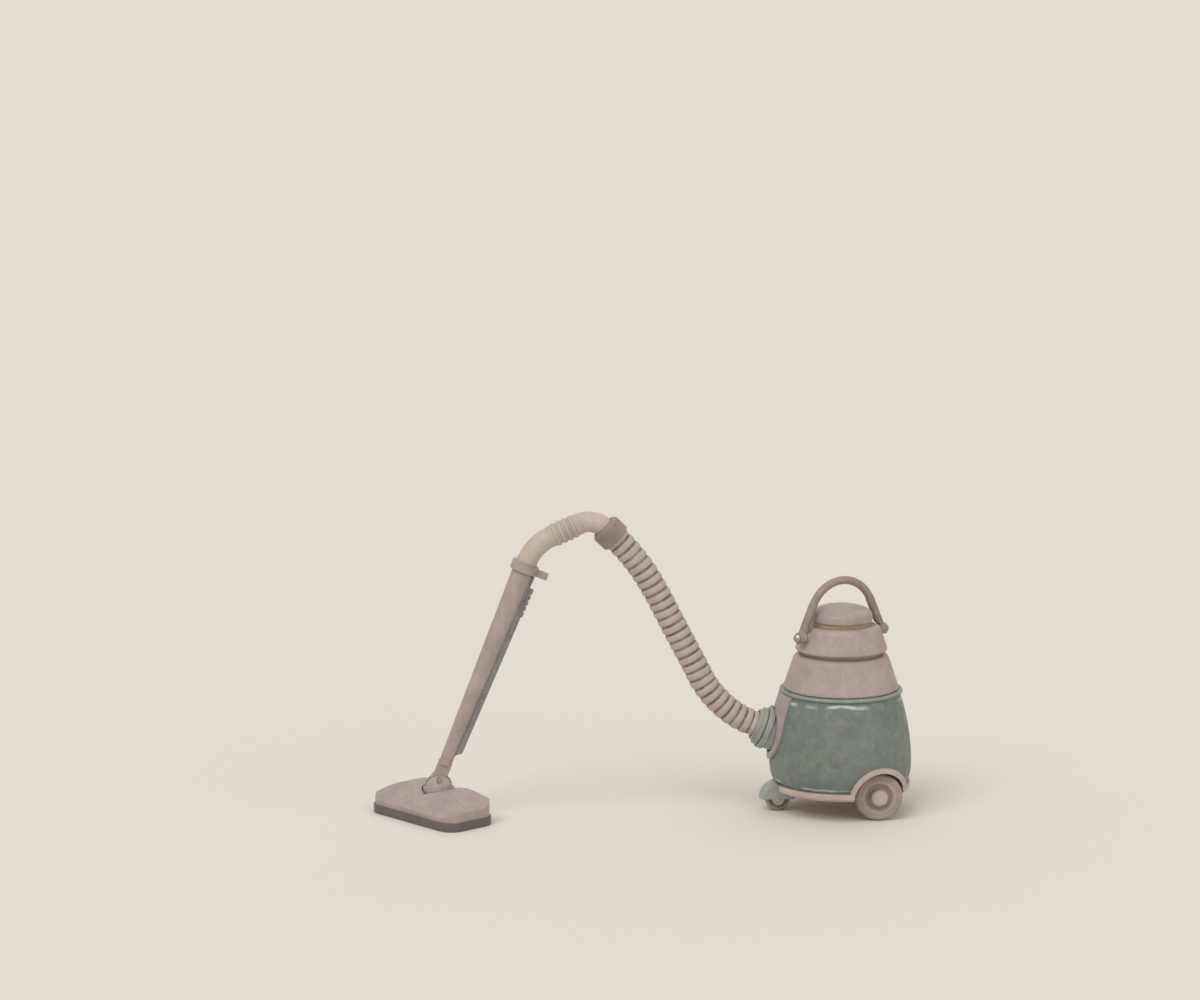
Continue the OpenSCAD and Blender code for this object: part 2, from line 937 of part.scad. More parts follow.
module caster_axle() {
    color("#9a9a98")
    at_caster()
        translate([-caster_lead, 0, caster_r])
            across(caster_pin_r, -fork_half_w, fork_half_w);
}

module caster_clip() {
    color("#9a9a98")
    at_caster()
        translate([0, 0, stem_boss_z + clip_gap])
            difference() {
                cylinder(r = stem_clip_r, h = stem_clip_t);
                cylinder(r = stem_groove_r + press, h = far, center = true);
            }
}

module caster_wheel() {
    color("#8c8083")
    at_caster()
        translate([-caster_lead, 0, caster_r])
            rotate([90, 0, 0])
                rotate_extrude()
                    polygon(concat([[caster_pin_r + running, caster_wheel_w / 2],
                                    [caster_boss_r, caster_wheel_w / 2],
                                    [caster_boss_r, caster_wheel_w / 2 - caster_dish],
                                    [caster_r - caster_rim, caster_wheel_w / 2 - caster_dish],
                                    [caster_r - caster_rim, caster_wheel_w / 2]],
                                   arc([caster_r - tyre_round, caster_wheel_w / 2 - tyre_round], tyre_round, 90, 0, 0),
                                   arc([caster_r - tyre_round, tyre_round - caster_wheel_w / 2], tyre_round, 0, -90, 0),
                                   [[caster_r - caster_rim, -caster_wheel_w / 2],
                                    [caster_r - caster_rim, caster_dish - caster_wheel_w / 2],
                                    [caster_boss_r, caster_dish - caster_wheel_w / 2],
                                    [caster_boss_r, -caster_wheel_w / 2],
                                    [caster_pin_r + running, -caster_wheel_w / 2]]));
}

// Hose
module hose_cuff() {
    color("#93a0a2")
    at_inlet()
        rotate_extrude()
            polygon([[hose_bore_r, -collar_in - clip_gap - clip_t - clip_tip],
                     [spigot_r, -collar_in - clip_gap - clip_t - clip_tip],
                     [spigot_r, -collar_in - clip_gap - clip_t],
                     [spigot_r - clip_groove, -collar_in - clip_gap - clip_t],
                     [spigot_r - clip_groove, -collar_in - clip_gap],
                     [spigot_r, -collar_in - clip_gap],
                     [spigot_r, collar_out + cuff_gap],
                     [cuff_flange_r, collar_out + cuff_gap],
                     [cuff_flange_r, collar_out + cuff_gap + cuff_flange_t],
                     [spigot_r + cuff_taper, collar_out + cuff_gap + cuff_flange_t],
                     [spigot_r, cuff_out],
                     [hose_r + hose_fit, cuff_out],
                     [hose_r + hose_fit, cuff_stop],
                     [hose_bore_r, cuff_stop]]);
}

module cuff_clip() {
    color("#9a9a98")
    at_inlet()
        translate([0, 0, -collar_in - clip_gap - clip_t])
            difference() {
                cylinder(r = clip_r, h = clip_t);
                cylinder(r = spigot_r - clip_groove + press, h = far, center = true);
            }
}

// Middle line of the hose from the grip down to the inlet, as distances from the canister axis and the floor
hose_route = [
    [-64.1, 78.3], [-61.6, 75.9], [-59.1, 73.3], [-56.8, 70.6], [-54.7, 67.8], [-52.8, 64.9], [-51, 61.8],
    [-49.3, 58.7], [-47.7, 55.5], [-46.1, 52.4], [-44.5, 49.3], [-42.9, 46.2], [-41.2, 43], [-39.6, 39.9],
    [-38, 36.7], [-36.1, 33.8], [-33.9, 31.1], [-31.3, 28.6], [-28.5, 26.5], [-25.4, 24.8], [-22.1, 23.4]
];
hose_sides = 12;
hose_plain = 2.4;
route_steps = 8;
route_last = len(hose_route) - 1;
function route_at(i) =
    i < 0 ? 2 * hose_route[0] - hose_route[1]
    : i > route_last ? 2 * hose_route[route_last] - hose_route[route_last - 1]
    : hose_route[i];
function spline(i, t) =
    let (a = route_at(i - 1), b = route_at(i), c = route_at(i + 1), d = route_at(i + 2))
    b + (c - a) * t / 2 + (2 * a - 5 * b + 4 * c - d) * t * t / 2 + (3 * b - a - 3 * c + d) * t * t * t / 2;
route_fine = [for (i = [0:route_last * route_steps])
    let (k = min(floor(i / route_steps), route_last - 1)) spline(k, i / route_steps - k)];
function lengths(i, sum) =
    i == len(route_fine) ? []
    : let (now = i == 0 ? 0 : sum + norm(route_fine[i] - route_fine[i - 1])) concat([now], lengths(i + 1, now));
route_s = lengths(0, 0);
hose_l = route_s[len(route_s) - 1];
function on_route(s) =
    let (k = max([for (i = [0:len(route_s) - 2]) route_s[i] <= s ? i : 0]))
    let (t = (s - route_s[k]) / (route_s[k + 1] - route_s[k]))
    route_fine[k] + (route_fine[k + 1] - route_fine[k]) * t;
look = 0.8;
function heading(s) =
    let (d = on_route(min(s + look, hose_l - 0.001)) - on_route(max(s - look, 0))) d / norm(d);
function ring(s, r) =
    let (p = on_route(min(s, hose_l - 0.001)), h = heading(s))
    [for (j = [0:hose_sides - 1]) let (a = 360 * j / hose_sides)
        [p[0] - h[1] * r * cos(a), r * sin(a), p[1] + h[0] * r * cos(a)]];
rib_count = floor((hose_l - 2 * hose_plain) / rib_pitch);
rib_from = (hose_l - rib_count * rib_pitch) / 2;
outer_rings = concat([[0, hose_r - rib_depth / 2], [rib_from, hose_r - rib_depth]],
    [for (k = [0:rib_count - 1], half = [0, 1])
        [rib_from + (k + (half + 0.5) / 2) * rib_pitch, half == 0 ? hose_r : hose_r - rib_depth]],
    [[hose_l, hose_r - rib_depth / 2]]);
bore_steps = 24;
bore_rings = [for (i = [bore_steps:-1:0]) [hose_l * i / bore_steps, hose_bore_r]];
hose_rings = concat(outer_rings, bore_rings);

module hose() {
    points = [for (q = hose_rings) each ring(q[0], q[1])];
    n = len(hose_rings);
    faces = [for (i = [0:n - 1], j = [0:hose_sides - 1], half = [0, 1])
        let (a = i * hose_sides + j, b = i * hose_sides + (j + 1) % hose_sides)
        let (c = ((i + 1) % n) * hose_sides + j, d = ((i + 1) % n) * hose_sides + (j + 1) % hose_sides)
        half == 0 ? [a, b, c] : [b, d, c]];
    color("#b3a196")
    placed()
        polyhedron(points = points, faces = faces);
}

module grip_cuff() {
    sleeve_r = hose_r + hose_fit + sleeve_t;
    color("#8a7d74")
    at_grip_end()
        rotate_extrude()
            polygon([[grip_r + hose_fit, -sleeve_back],
                     [grip_r + hose_fit + sleeve_t, -sleeve_back],
                     [sleeve_r, hose_r - grip_r - sleeve_back],
                     [sleeve_r, sleeve_l],
                     [hose_r + hose_fit, sleeve_l],
                     [hose_r + hose_fit, 0],
                     [grip_r + hose_fit, 0]]);
}

// Grip and wand

// A round bar that leaves the origin upward and bends toward +X
module bent_bar(r, bend_r, turn) {
    translate([bend_r, 0, 0])
        rotate([quarter, 0, 0])
            rotate([0, 0, 180 - turn])
                rotate_extrude(angle = turn)
                    translate([bend_r, 0])
                        circle(r = r);
}

module hand_grip() {
    color("#c4b8b2")
    difference() {
        union() {
            at_wand()
                translate([0, 0, wand_l - grip_plug_l])
                    cylinder(r = grip_plug_r, h = grip_plug_l + grip_lap);
            at_wand()
                translate([0, 0, wand_l])
                    cylinder(r = grip_r + grip_step, h = grip_straight + grip_lap);
            at_bend()
                bent_bar(grip_r, grip_bend_r, grip_turn);
            at_run()
                translate([0, 0, -grip_lap])
                    cylinder(r = grip_r + grip_step, h = grip_run + 2 * grip_lap);
            for (i = [0:ridges - 1])
                at_run()
                    translate([0, 0, ridge_start + i * ridge_pitch])
                        cylinder(r = grip_r + ridge_h, h = ridge_w);
            at_tip()
                bent_bar(grip_r, grip_tip_r, tip_turn);
            at_grip_end()
                translate([0, 0, -grip_lap])
                    cylinder(r = hose_bore_r - plug_clear, h = plug_l + grip_lap);
        }
        at_wand()
            translate([0, 0, wand_l - grip_plug_l - grip_lap])
                cylinder(r = grip_bore_r + grip_step, h = grip_plug_l + grip_straight + 2 * grip_lap);
        at_bend()
            bent_bar(grip_bore_r, grip_bend_r, grip_turn);
        at_run()
            translate([0, 0, -grip_lap])
                cylinder(r = grip_bore_r + grip_step, h = grip_run + 2 * grip_lap);
        at_tip()
            bent_bar(grip_bore_r, grip_tip_r, tip_turn);
        at_grip_end()
            translate([0, 0, -grip_lap])
                cylinder(r = grip_bore_r + grip_step, h = far / 3);
    }
}

module wand_collar() {
    color("#b2a5aa")
    at_wand()
        difference() {
            union() {
                translate([0, 0, wand_l - collar_ring_up])
                    cylinder(r = grip_r + grip_step + seat + collar_ring_t, h = collar_ring_l);
                translate([grip_r, -hook_w / 2, wand_l - collar_ring_up])
                    cube([collar_ring_t + hook_l, hook_w, hook_t]);
            }
            cylinder(r = grip_r + grip_step + seat, h = wand_l + far);
        }
}

module strip_shape(w, grow) {
    low = wand_radius(strip_from);
    step = wand_radius(button_foot);
    high = wand_radius(strip_to);
    rotate([quarter, 0, 0])
        linear_extrude(height = w, center = true)
            polygon([[low - strip_sunk - grow, strip_from - grow],
                     [low + strip_rise, strip_from + strip_rise],
                     [step + strip_rise, button_foot - button_gap],
                     [step + rail_rise, button_foot - button_gap],
                     [high + rail_rise, strip_to],
                     [high - strip_sunk - grow, strip_to + grow]]);
}

module wand_tube() {
    color("#b2a5aa")
    at_wand()
        difference() {
            translate([0, 0, foot_top])
                cylinder(r1 = wand_foot_r, r2 = wand_top_r, h = wand_l - foot_top);
            translate([0, 0, foot_top])
                cylinder(r1 = foot_plug_r + press, r2 = wand_top_r - wand_wall - press, h = wand_l - foot_top);
            translate([0, 0, foot_top])
                cylinder(r = foot_plug_r + press, h = foot_plug_l);
            translate([0, 0, wand_l - grip_plug_l - slip])
                cylinder(r = grip_plug_r + press, h = far);
            strip_shape(strip_w + 2 * seat, seat);
        }
}

// Slope of the wand's side, which the strip and the slide follow
strip_slope = atan((wand_top_r - wand_foot_r) / (wand_l - foot_top));
module on_strip() {
    at_wand()
        translate([wand_radius(button_top) + rail_rise, 0, button_top])
            rotate([0, strip_slope, 0])
                children();
}

module wand_strip() {
    color("#7d8a8c")
    difference() {
        at_wand()
            strip_shape(strip_w, 0);
        on_strip()
            translate([-key_deep, -key_w / 2 - button_gap, -button_l - button_gap])
                cube([far, key_w + 2 * button_gap, button_l + button_travel + 2 * button_gap]);
    }
}

module slide_button() {
    color("#6f6c6c")
    on_strip() {
        translate([-key_deep + button_gap, -key_w / 2, -button_l])
            cube([key_deep, key_w, button_l]);
        translate([button_gap, -strip_w / 2, -button_l])
            difference() {
                cube([button_rise, strip_w, button_l]);
                for (i = [1:grip_cuts])
                    translate([button_rise, -far, i * button_l / (grip_cuts + 1)])
                        rotate([-90, 0, 0])
                            cylinder(r = button_rise / 3, h = 2 * far);
            }
    }
}

module wand_foot() {
    color("#b2a5aa")
    at_wand()
        difference() {
            union() {
                across(foot_eye_r, -foot_eye_w / 2, foot_eye_w / 2);
                translate([-wand_foot_r, -foot_eye_w / 2, 0])
                    cube([2 * wand_foot_r, foot_eye_w, foot_tang_l]);
                translate([0, 0, foot_round])
                    cylinder(r = wand_foot_r, h = foot_top - foot_round);
                translate([0, 0, foot_top])
                    cylinder(r = foot_plug_r, h = foot_plug_l);
            }
            across(neck_pin_r + running, -far, far);
        }
}

// Neck and floor head
module neck_turret() {
    dome_z = head_h + head_gap + turret_t;
    color("#b2a5aa")
    at_neck()
        difference() {
            union() {
                translate([0, 0, head_h + head_gap])
                    cylinder(r = turret_r, h = turret_t);
                translate([0, 0, head_h - roof_t - head_gap])
                    cylinder(r = turret_spigot_r, h = roof_t + turret_t);
                translate([0, 0, dome_z])
                    difference() {
                        sphere(r = turret_dome_r);
                        translate([0, 0, -far - turret_t / 2])
                            cylinder(r = far, h = far);
                    }
            }
            translate([-far, -ear_y, dome_z])
                cube([2 * far, 2 * ear_y, far]);
            translate([0, 0, wand_z])
                across(neck_pin_r + press, -far, far);
            translate([0, 0, head_h - roof_t - head_gap])
                cylinder(r = turret_screw_r + press, h = turret_screw_l);
        }
}

module neck_pin() {
    color("#9a9a98")
    at_neck()
        translate([0, 0, wand_z])
            across(neck_pin_r, -neck_pin_half, neck_pin_half);
}

module turret_screw() {
    color("#9a9a98")
    at_neck()
        translate([0, 0, head_h - roof_t - head_gap]) {
            translate([0, 0, -turret_screw_head_t])
                cylinder(r = turret_screw_head_r, h = turret_screw_head_t);
            cylinder(r = turret_screw_r, h = turret_screw_l - slip);
        }
}

module head_outline(grow) {
    back = head_rear - head_corner_r;
    side = head_w / 2 - head_corner_r;
    r = head_corner_r + grow;
    union() {
        for (x = [-sole_ahead, back], y = [-side, side])
            translate([x, y])
                circle(r = r);
        translate([-sole_ahead - r, -side])
            square([sole_ahead + back + 2 * r, 2 * side]);
        translate([-sole_ahead, -side - r])
            square([sole_ahead + back, 2 * side + 2 * r]);
    }
}

// Top line of the head seen from the front: two lobes with a dip for the turret
function head_top(y) =
    let (u = abs(y) / head_w * 4 - 1)
    head_h + lobe_rise - (u < 0 ? lobe_dip : side_drop) * u * u;

module head_casing() {
    color("#b2a5aa")
    at_head()
        difference() {
            intersection() {
                translate([0, 0, sole_h])
                    linear_extrude(height = far)
                        head_outline(0);
                rotate([90, 0, 0])
                    linear_extrude(height = 2 * far, center = true)
                        polygon([[-head_front, 0],
                                 [-head_front, sole_h + lip_h],
                                 [head_slope - head_front, head_h + lobe_rise],
                                 [head_rear - rear_drop, head_h + lobe_rise],
                                 [head_rear, head_h + lobe_rise - rear_drop],
                                 [head_rear, 0]]);
                rotate([90, 0, 90])
                    linear_extrude(height = 2 * far, center = true)
                        polygon(concat([[-head_w / 2, 0]],
                                       [for (i = [0:lobe_steps])
                                           let (y = head_w * (i / lobe_steps - 0.5)) [y, head_top(y)]],
                                       [[head_w / 2, 0]]));
            }
            translate([0, 0, head_h])
                cylinder(r = pad_r, h = far);
            cylinder(r = turret_spigot_r + running, h = far);
            cylinder(r = screw_room_r, h = head_h - roof_t);
            translate([-head_front + chamber_margin, chamber_margin - head_w / 2, 0])
                cube([head_front - chamber_margin, head_w - 2 * chamber_margin, sole_h + chamber_h]);
            for (y = [-sole_screw_y, sole_screw_y])
                translate([sole_screw_x, y, 0])
                    cylinder(r = sole_screw_r + press, h = sole_h + sole_screw_bite);
        }
}

module head_sole() {
    color("#5a5c60")
    at_head()
        difference() {
            linear_extrude(height = sole_h)
                head_outline(bumper);
            translate([slot_from_front - head_front, slot_margin - head_w / 2, -far])
                cube([slot_w, head_w - 2 * slot_margin, 2 * far]);
            for (y = [-sole_screw_y, sole_screw_y])
                translate([sole_screw_x, y, 0]) {
                    cylinder(r = sole_screw_r + seat, h = far);
                    cylinder(r = sole_screw_head_r + seat, h = sole_screw_head_t + sole_screw_room);
                }
        }
}

module sole_screws() {
    color("#9a9a98")
    at_head()
        for (y = [-sole_screw_y, sole_screw_y])
            translate([sole_screw_x, y, sole_screw_room]) {
                cylinder(r = sole_screw_head_r, h = sole_screw_head_t);
                cylinder(r = sole_screw_r, h = sole_h + sole_screw_bite - sole_screw_room - seat);
            }
}

chassis();
tub();
front_panel();
inlet_collar();
inlet_nut();
rim_bead();
lid_skirt();
lower_seal();
lid_hood();
upper_seal();
lid_cap();
tie_rod();
handle_rivets();
left_arch_trim();
right_arch_trim();
carry_handle();
rear_axle();
rear_wheel_left();
rear_wheel_right();
rear_tyre_left();
rear_tyre_right();
axle_caps();
caster_fork();
caster_axle();
caster_clip();
caster_wheel();
hose_cuff();
cuff_clip();
hose();
grip_cuff();
hand_grip();
wand_collar();
wand_tube();
wand_strip();
wand_foot();
slide_button();
neck_turret();
neck_pin();
turret_screw();
head_casing();
head_sole();
sole_screws();
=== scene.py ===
"""Looks of the toy canister vacuum cleaner: painted finishes, ribbed hose, floor, light and camera."""
import json
import math

import bmesh
import bpy
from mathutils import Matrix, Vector


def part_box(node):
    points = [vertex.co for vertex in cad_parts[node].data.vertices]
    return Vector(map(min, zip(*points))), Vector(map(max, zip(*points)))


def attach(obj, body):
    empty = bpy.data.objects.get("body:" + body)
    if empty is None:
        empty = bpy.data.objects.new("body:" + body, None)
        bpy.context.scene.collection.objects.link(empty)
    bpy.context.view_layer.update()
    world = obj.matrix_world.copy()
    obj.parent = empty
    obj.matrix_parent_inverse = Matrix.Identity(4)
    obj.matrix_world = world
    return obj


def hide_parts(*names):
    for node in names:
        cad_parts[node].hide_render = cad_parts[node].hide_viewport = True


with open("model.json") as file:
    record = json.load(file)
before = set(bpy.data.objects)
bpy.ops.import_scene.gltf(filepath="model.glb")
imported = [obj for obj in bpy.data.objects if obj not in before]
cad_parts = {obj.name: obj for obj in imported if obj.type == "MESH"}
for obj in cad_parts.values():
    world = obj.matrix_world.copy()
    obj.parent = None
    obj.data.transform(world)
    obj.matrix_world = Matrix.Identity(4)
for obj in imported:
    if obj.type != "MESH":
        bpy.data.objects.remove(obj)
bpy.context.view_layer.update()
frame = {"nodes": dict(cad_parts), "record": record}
MM = 0.001


def srgb(red, green, blue):
    """Linear colour from 8-bit screen values."""
    def channel(value):
        value = value / 255
        if value <= 0.04045:
            return value / 12.92
        return ((value + 0.055) / 1.055) ** 2.4
    return (channel(red), channel(green), channel(blue), 1)


def link(piece):
    bpy.context.scene.collection.objects.link(piece)


# Hose: the route is in millimetres from the canister's axis and the floor

tub_low, tub_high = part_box("tub")
canister_x = (tub_low.x + tub_high.x) / 2
HOSE_ROUTE = [
    (-64.1, 78.3), (-61.6, 75.9), (-59.1, 73.3), (-56.8, 70.6), (-54.7, 67.8), (-52.8, 64.9), (-51, 61.8),
    (-49.3, 58.7), (-47.7, 55.5), (-46.1, 52.4), (-44.5, 49.3), (-42.9, 46.2), (-41.2, 43), (-39.6, 39.9),
    (-38, 36.7), (-36.1, 33.8), (-33.9, 31.1), (-31.3, 28.6), (-28.5, 26.5), (-25.4, 24.8), (-22.1, 23.4),
]
HOSE_D = 7.2 * MM
HOSE_PLAIN = 2.4 * MM
RIB_PITCH = 2.4 * MM
RIB_DEPTH = 0.5 * MM
RIB_LEAD = 0.2 * MM
RIB_ROUNDNESS = 0.55
RIB_STEPS = 12
HOSE_SIDES = 48
SPAN_STEPS = 24
HEADING_REACH = 0.8 * MM


def hose_line():
    """Points on the smooth middle line of the hose, from the grip down to the inlet, in metres."""
    points = [Vector((canister_x + x * MM, 0, z * MM)) for x, z in HOSE_ROUTE]
    first = 2 * points[0] - points[1]
    last = 2 * points[-1] - points[-2]
    points = [first] + points + [last]
    line = []
    for i in range(1, len(points) - 2):
        a, b, c, d = points[i - 1:i + 3]
        for k in range(SPAN_STEPS):
            t = k / SPAN_STEPS
            square = (2 * a - 5 * b + 4 * c - d) * t * t / 2
            cube = (3 * b - a - 3 * c + d) * t * t * t / 2
            line.append(b + (c - a) * t / 2 + square + cube)
    line.append(points[-2])
    return line


class Line:
    """A middle line that can be asked for its point and heading at any length."""

    def __init__(self, points):
        self.points = points
        self.marks = [0]
        for p, q in zip(points, points[1:]):
            self.marks.append(self.marks[-1] + (q - p).length)
        self.length = self.marks[-1]

    def at(self, s):
        s = min(max(s, 0), self.length)
        k = 0
        while k < len(self.marks) - 2 and self.marks[k + 1] < s:
            k += 1
        t = (s - self.marks[k]) / (self.marks[k + 1] - self.marks[k])
        return self.points[k].lerp(self.points[k + 1], t)

    def heading(self, s):
        return (self.at(s + HEADING_REACH) - self.at(s - HEADING_REACH)).normalized()


def hose_stations(line):
    """Length, radius and groove depth of each ring along the hose."""
    ribs = math.floor((line.length - 2 * HOSE_PLAIN) / RIB_PITCH)
    start = (line.length - ribs * RIB_PITCH) / 2
    crest = HOSE_D / 2
    plain = crest - RIB_DEPTH / 2
    rows = [(0, plain, 0), (start - RIB_LEAD, plain, 0)]
    for k in range(ribs * RIB_STEPS + 1):
        phase = k / RIB_STEPS
        swell = abs(math.sin(math.pi * phase)) ** RIB_ROUNDNESS
        rows.append((start + phase * RIB_PITCH, crest - RIB_DEPTH * (1 - swell), 1 - swell))
    rows.append((line.length - start + RIB_LEAD, plain, 0))
    rows.append((line.length, plain, 0))
    return rows


def build_hose():
    """Corrugated tube with rounded ribs and narrow grooves."""
    line = Line(hose_line())
    bm = bmesh.new()
    groove = bm.verts.layers.float.new("groove")
    across = Vector((0, 1, 0))
    rings = []
    for s, radius, depth in hose_stations(line):
        centre = line.at(s)
        up = line.heading(s).cross(across)
        ring = []
        for j in range(HOSE_SIDES):
            a = 2 * math.pi * j / HOSE_SIDES
            v = bm.verts.new(centre + radius * (math.cos(a) * across + math.sin(a) * up))
            v[groove] = depth
            ring.append(v)
        rings.append(ring)
    for lower, upper in zip(rings, rings[1:]):
        for j in range(HOSE_SIDES):
            k = (j + 1) % HOSE_SIDES
            bm.faces.new((lower[j], lower[k], upper[k], upper[j]))
    bm.faces.new(rings[0])
    bm.faces.new(rings[-1])
    bmesh.ops.recalc_face_normals(bm, faces=bm.faces)
    for face in bm.faces:
        face.smooth = True
    mesh = bpy.data.meshes.new("ribbed_hose")
    bm.to_mesh(mesh)
    bm.free()
    piece = bpy.data.objects.new("ribbed_hose", mesh)
    link(piece)
    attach(piece, "wand")
    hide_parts("hose")
    return piece


ribbed_hose = build_hose()


# Node helpers: sizes are in millimetres, and a mask runs from 0 to 1

def new_material(name):
    material = bpy.data.materials.new(name)
    material.use_nodes = True
    tree = material.node_tree
    tree.nodes.clear()
    return material, tree


def feed(tree, socket, value):
    """Sets an input to a value, or links it to a socket."""
    if isinstance(value, bpy.types.NodeSocket):
        tree.links.new(value, socket)
    else:
        socket.default_value = value


def add(tree, kind, settings=None, **inputs):
    """A node with its settings and its inputs, whose names have spaces for underscores."""
    made = tree.nodes.new(kind)
    for key, value in (settings or {}).items():
        setattr(made, key, value)
    for key, value in inputs.items():
        feed(tree, made.inputs[key.replace("_", " ")], value)
    return made


def finish_material(tree, shader):
    out = add(tree, "ShaderNodeOutputMaterial")
    tree.links.new(shader.outputs[0], out.inputs[0])


def noise(tree, size, detail=3, stretch=(1, 1, 1), shift=0):
    """Noise whose patches measure about size."""
    place = add(tree, "ShaderNodeTexCoord").outputs["Object"]
    moved = (shift, shift, shift)
    mapped = add(tree, "ShaderNodeMapping", Vector=place, Location=moved, Scale=stretch).outputs[0]
    return add(tree, "ShaderNodeTexNoise", Vector=mapped, Scale=1 / (size * MM), Detail=detail,
               Roughness=0.6).outputs["Fac"]


def band(tree, value, low, high, out_low=0.0, out_high=1.0):
    """The value's range from low to high, spread over the range of the output and held there."""
    return add(tree, "ShaderNodeMapRange", Value=value, From_Min=low, From_Max=high, To_Min=out_low,
               To_Max=out_high).outputs[0]


def calc(tree, kind, *values):
    made = tree.nodes.new("ShaderNodeMath")
    made.operation = kind
    for socket, value in zip(made.inputs, values):
        feed(tree, socket, value)
    return made.outputs[0]


def times(tree, a, b):
    return calc(tree, "MULTIPLY", a, b)


def plus(tree, a, b):
    return calc(tree, "ADD", a, b)


def mixed(tree, share, a, b):
    """Colour a, with a share of colour b over it."""
    made = add(tree, "ShaderNodeMix", {"data_type": "RGBA"})
    feed(tree, made.inputs[0], share)
    feed(tree, made.inputs[6], a)
    feed(tree, made.inputs[7], b)
    return made.outputs[2]


def rounded(tree, radius):
    """Normal that rounds the edges."""
    return add(tree, "ShaderNodeBevel", {"samples": 4}, Radius=radius * MM).outputs[0]


def edge_mask(tree, soft):
    """A mask of the edges, where the rounded normal leaves the plain one."""
    plain = add(tree, "ShaderNodeNewGeometry").outputs["Normal"]
    made = add(tree, "ShaderNodeVectorMath", {"operation": "DOT_PRODUCT"})
    feed(tree, made.inputs[0], soft)
    feed(tree, made.inputs[1], plain)
    return band(tree, made.outputs["Value"], 0.98, 0.8)


def hollow_mask(tree, reach):
    """A mask of corners and gaps, where shade falls, from ambient occlusion; it drives painted shade."""
    made = add(tree, "ShaderNodeAmbientOcclusion", {"samples": 4}, Distance=reach * MM)
    return band(tree, made.outputs["AO"], 0.75, 0.2)


def height_above_floor(tree):
    place = add(tree, "ShaderNodeTexCoord").outputs["Object"]
    return add(tree, "ShaderNodeSeparateXYZ", Vector=place).outputs["Z"]


def brushed_line(tree, colour, z, half, tone):
    """A thin, wavering and broken brush line round the piece at the height z; under the tub's rim it is a
    painted highlight.
    """
    waver = times(tree, band(tree, noise(tree, 9, 2, shift=0.4), 0.3, 0.7, -0.5, 0.5), 0.9 * MM)
    height = plus(tree, height_above_floor(tree), waver)
    away = calc(tree, "ABSOLUTE", calc(tree, "SUBTRACT", height, z * MM))
    line = band(tree, away, half * MM, 0.5 * half * MM)
    breaks = band(tree, noise(tree, 11, 2, (1, 1, 0.3), 0.9), 0.44, 0.54)
    return mixed(tree, times(tree, times(tree, line, breaks), 0.8), colour, srgb(*tone))


# Finishes: base and shade are the paint, worn is its rubbed tone, as 8-bit screen values

# Tone of the painted shade in corners and gaps
CORNER_SHADE_TONE = (92, 82, 76)
PALE_FLECK = (190, 172, 158)
WARM_FLECK = (166, 144, 126)
# Painted highlight: a pale brush line just under the tub's rim
RIM_HIGHLIGHT = (31.4, 0.5, (206, 208, 202))
FOOT_LINE = (9.2, 0.3, (182, 184, 176))
PAINT_ROUGH = (0.46, 0.66)
RUBBER_ROUGH = (0.62, 0.84)
STEEL_ROUGH = (0.3, 0.55)


def painted(name, base, shade, worn, wear=0.5, streak=0.3, fleck=PALE_FLECK, flecked=0.45, thin=0.15,
            lines=()):
    """Chalky paint with mottling, brush strokes, flecks, thin places, worn edges and painted shade in the
    corners and gaps.
    """
    material, tree = new_material(name)
    patches = band(tree, noise(tree, 6.5, 5), 0.38, 0.64)
    colour = mixed(tree, times(tree, patches, 0.9), srgb(*base), srgb(*shade))
    strokes = noise(tree, 1.6, 3, (1, 1, 0.22), 0.3)
    pale = times(tree, band(tree, strokes, 0.54, 0.72), streak)
    colour = mixed(tree, pale, colour, srgb(*worn))
    grain = noise(tree, 0.5, 2, shift=0.7)
    colour = mixed(tree, times(tree, band(tree, grain, 0.48, 0.7), 0.4), colour, srgb(*shade))
    flecks = band(tree, noise(tree, 0.7, 3, shift=1.3), 0.58, 0.7)
    colour = mixed(tree, times(tree, flecks, flecked), colour, srgb(*fleck))
    blotches = band(tree, noise(tree, 3.6, 4, shift=1.9), 0.5, 0.66)
    colour = mixed(tree, times(tree, blotches, thin), colour, srgb(*fleck))
    for z, half, tone in lines:
        colour = brushed_line(tree, colour, z, half, tone)
    normal = rounded(tree, 0.4)
    ragged = times(tree, edge_mask(tree, normal), band(tree, noise(tree, 1.4, 4, shift=0.2), 0.36, 0.6))
    colour = mixed(tree, times(tree, ragged, wear), colour, srgb(*worn))
    # Painted shade: darker in corners and gaps, from ambient occlusion broken up by noise
    corner_shade = times(tree, hollow_mask(tree, 1.6), band(tree, noise(tree, 2.2, 3, shift=0.5), 0.25, 0.7))
    colour = mixed(tree, times(tree, corner_shade, 0.4), colour, srgb(*CORNER_SHADE_TONE))
    uneven = plus(tree, strokes, band(tree, grain, 0, 1, -0.2, 0.2))
    roughness = band(tree, uneven, 0.3, 0.75, *PAINT_ROUGH)
    height = plus(tree, times(tree, strokes, 0.6), times(tree, grain, 0.5))
    relief = add(tree, "ShaderNodeBump", Strength=0.3, Distance=0.12 * MM, Height=height, Normal=normal)
    shader = add(tree, "ShaderNodeBsdfPrincipled", Base_Color=colour, Roughness=roughness,
                 Normal=relief.outputs[0], Coat_Weight=0.06, Coat_Roughness=0.35)
    finish_material(tree, shader)
    return material


